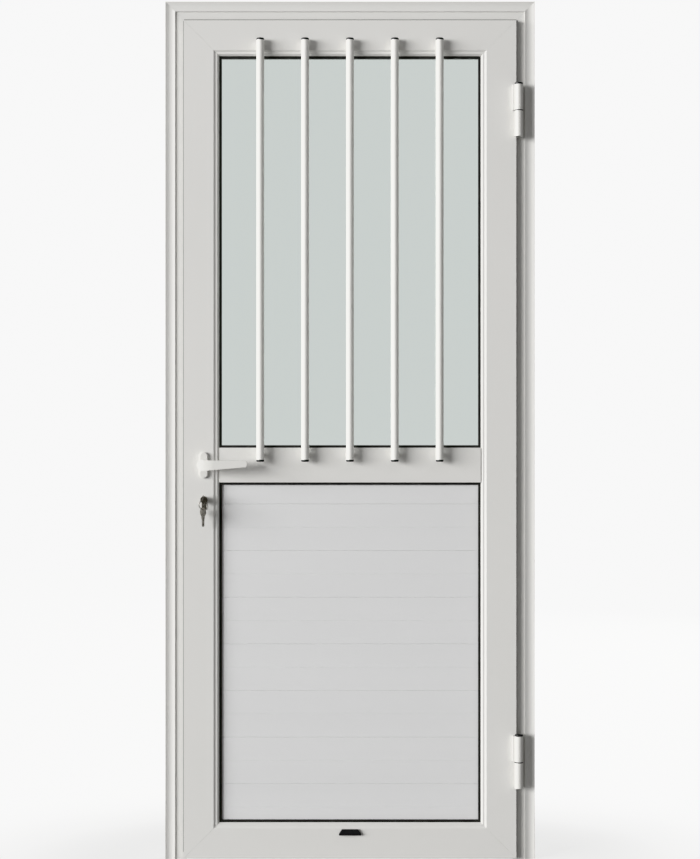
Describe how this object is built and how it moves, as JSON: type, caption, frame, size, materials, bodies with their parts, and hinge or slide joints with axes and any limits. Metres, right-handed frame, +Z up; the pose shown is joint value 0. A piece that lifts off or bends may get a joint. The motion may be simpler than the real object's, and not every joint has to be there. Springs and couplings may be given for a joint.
{
  "type": "aluminium door",
  "caption": "Hinged white aluminium door in its mitred frame, with a barred glass window above the mid rail, a planked panel below, lever handles and a keyed lock.",
  "frame": {"origin": "on the floor, at mid width, in the middle of the leaf's thickness", "axes": "+Z up, +X towards the hinge side, +Y from the viewer's side to the back"},
  "size_m": [0.906, 0.144, 2.102],
  "materials": {
    "white_aluminium": "white powder coat, satin",
    "bright_aluminium": "bright white enamel",
    "white_fittings": "white powder coat on die-cast alloy",
    "mill_aluminium": "mill",
    "black_rubber": "matt",
    "black_plastic": "matt",
    "white_plastic": "matt",
    "clear_glass": "clear",
    "nickel": "nickel plated",
    "steel": "zinc plated"
  },
  "bodies": {
    "frame": {"frame_head": "white_aluminium", "frame_jamb_lock": "white_aluminium", "frame_jamb_hinge": "white_aluminium", "frame_cleats": "mill_aluminium", "stop_gasket": "black_rubber", "strike_plate": "steel", "strike_screws": "steel", "fixing_plugs": "white_plastic", "hinge_frame_halves": "white_fittings", "hinge_pins": "steel", "hinge_washers": "black_plastic", "hinge_frame_screws": "steel"},
    "leaf": {"stile_lock": "white_aluminium", "stile_hinge": "white_aluminium", "top_rail": "white_aluminium", "bottom_rail": "white_aluminium", "mid_rail": "white_aluminium", "leaf_cleats": "mill_aluminium", "mid_rail_connectors": "mill_aluminium", "connector_screws": "steel", "flange_gasket": "black_rubber", "glass": "clear_glass", "glass_gasket": "black_rubber", "window_beads_level": "white_aluminium", "window_beads_upright": "white_aluminium", "plank_high": "white_aluminium", "planks_full": "white_aluminium", "plank_low": "white_aluminium", "panel_gasket": "black_rubber", "panel_beads_level": "white_aluminium", "panel_beads_upright": "white_aluminium", "back_gaskets": "black_rubber", "setting_blocks": "black_plastic", "bars": "bright_aluminium", "bar_caps": "black_plastic", "bar_spacers": "bright_aluminium", "bar_screws": "steel", "rear_plugs": "white_plastic", "drain_cap": "black_plastic", "hinge_leaf_halves": "white_fittings", "hinge_caps": "black_plastic", "hinge_leaf_screws": "steel", "lock_case": "steel", "lock_faceplate": "steel", "faceplate_screws": "steel", "cylinder_body": "nickel", "cylinder_screw": "steel", "rose_front_plate": "white_fittings", "rose_rear_plate": "white_fittings", "rose_screws": "steel"},
    "lever": {"lever_front": "white_fittings", "lever_rear": "white_fittings", "spindle": "steel", "lock_hub": "steel"},
    "latch": {"latch_bolt": "steel"},
    "bolt": {"dead_bolt": "steel"},
    "key": {"cylinder_plug": "nickel", "key": "nickel"},
    "key_ring": {"key_ring": "nickel", "spare_key": "nickel"}
  },
  "joints": [
    {"name": "leaf_swing", "type": "hinge", "parent": "frame", "child": "leaf", "pos_m": [0.4115, -0.0365, 1.05], "axis": [0, 0, 1], "range_deg": [0, 120]},
    {"name": "lever_turn", "type": "hinge", "parent": "leaf", "child": "lever", "pos_m": [-0.357, 0, 0.966], "axis": [0, 1, 0], "range_deg": [0, 45], "stiffness_Nm_per_rad": 1, "springref_deg": -34.38},
    {"name": "latch_slide", "type": "slide", "parent": "leaf", "child": "latch", "axis": [1, 0, 0], "range_m": [0, 0.011]},
    {"name": "key_turn", "type": "hinge", "parent": "leaf", "child": "key", "pos_m": [-0.357, -0.03, 0.881], "axis": [0, -1, 0], "range_deg": [0, 360]},
    {"name": "bolt_slide", "type": "slide", "parent": "leaf", "child": "bolt", "axis": [-1, 0, 0], "range_m": [0, 0.02]},
    {"name": "ring_swing", "type": "hinge", "parent": "key", "child": "key_ring", "pos_m": [-0.357, -0.0515, 0.881], "axis": [1, 0, 0], "range_deg": [-60, 15]}
  ],
  "couplings": [
    {"joint": "latch_slide", "follows": "lever_turn", "m_per_rad": 0.014},
    {"joint": "key_turn", "follows": "bolt_slide", "rad_per_m": 314}
  ]
}
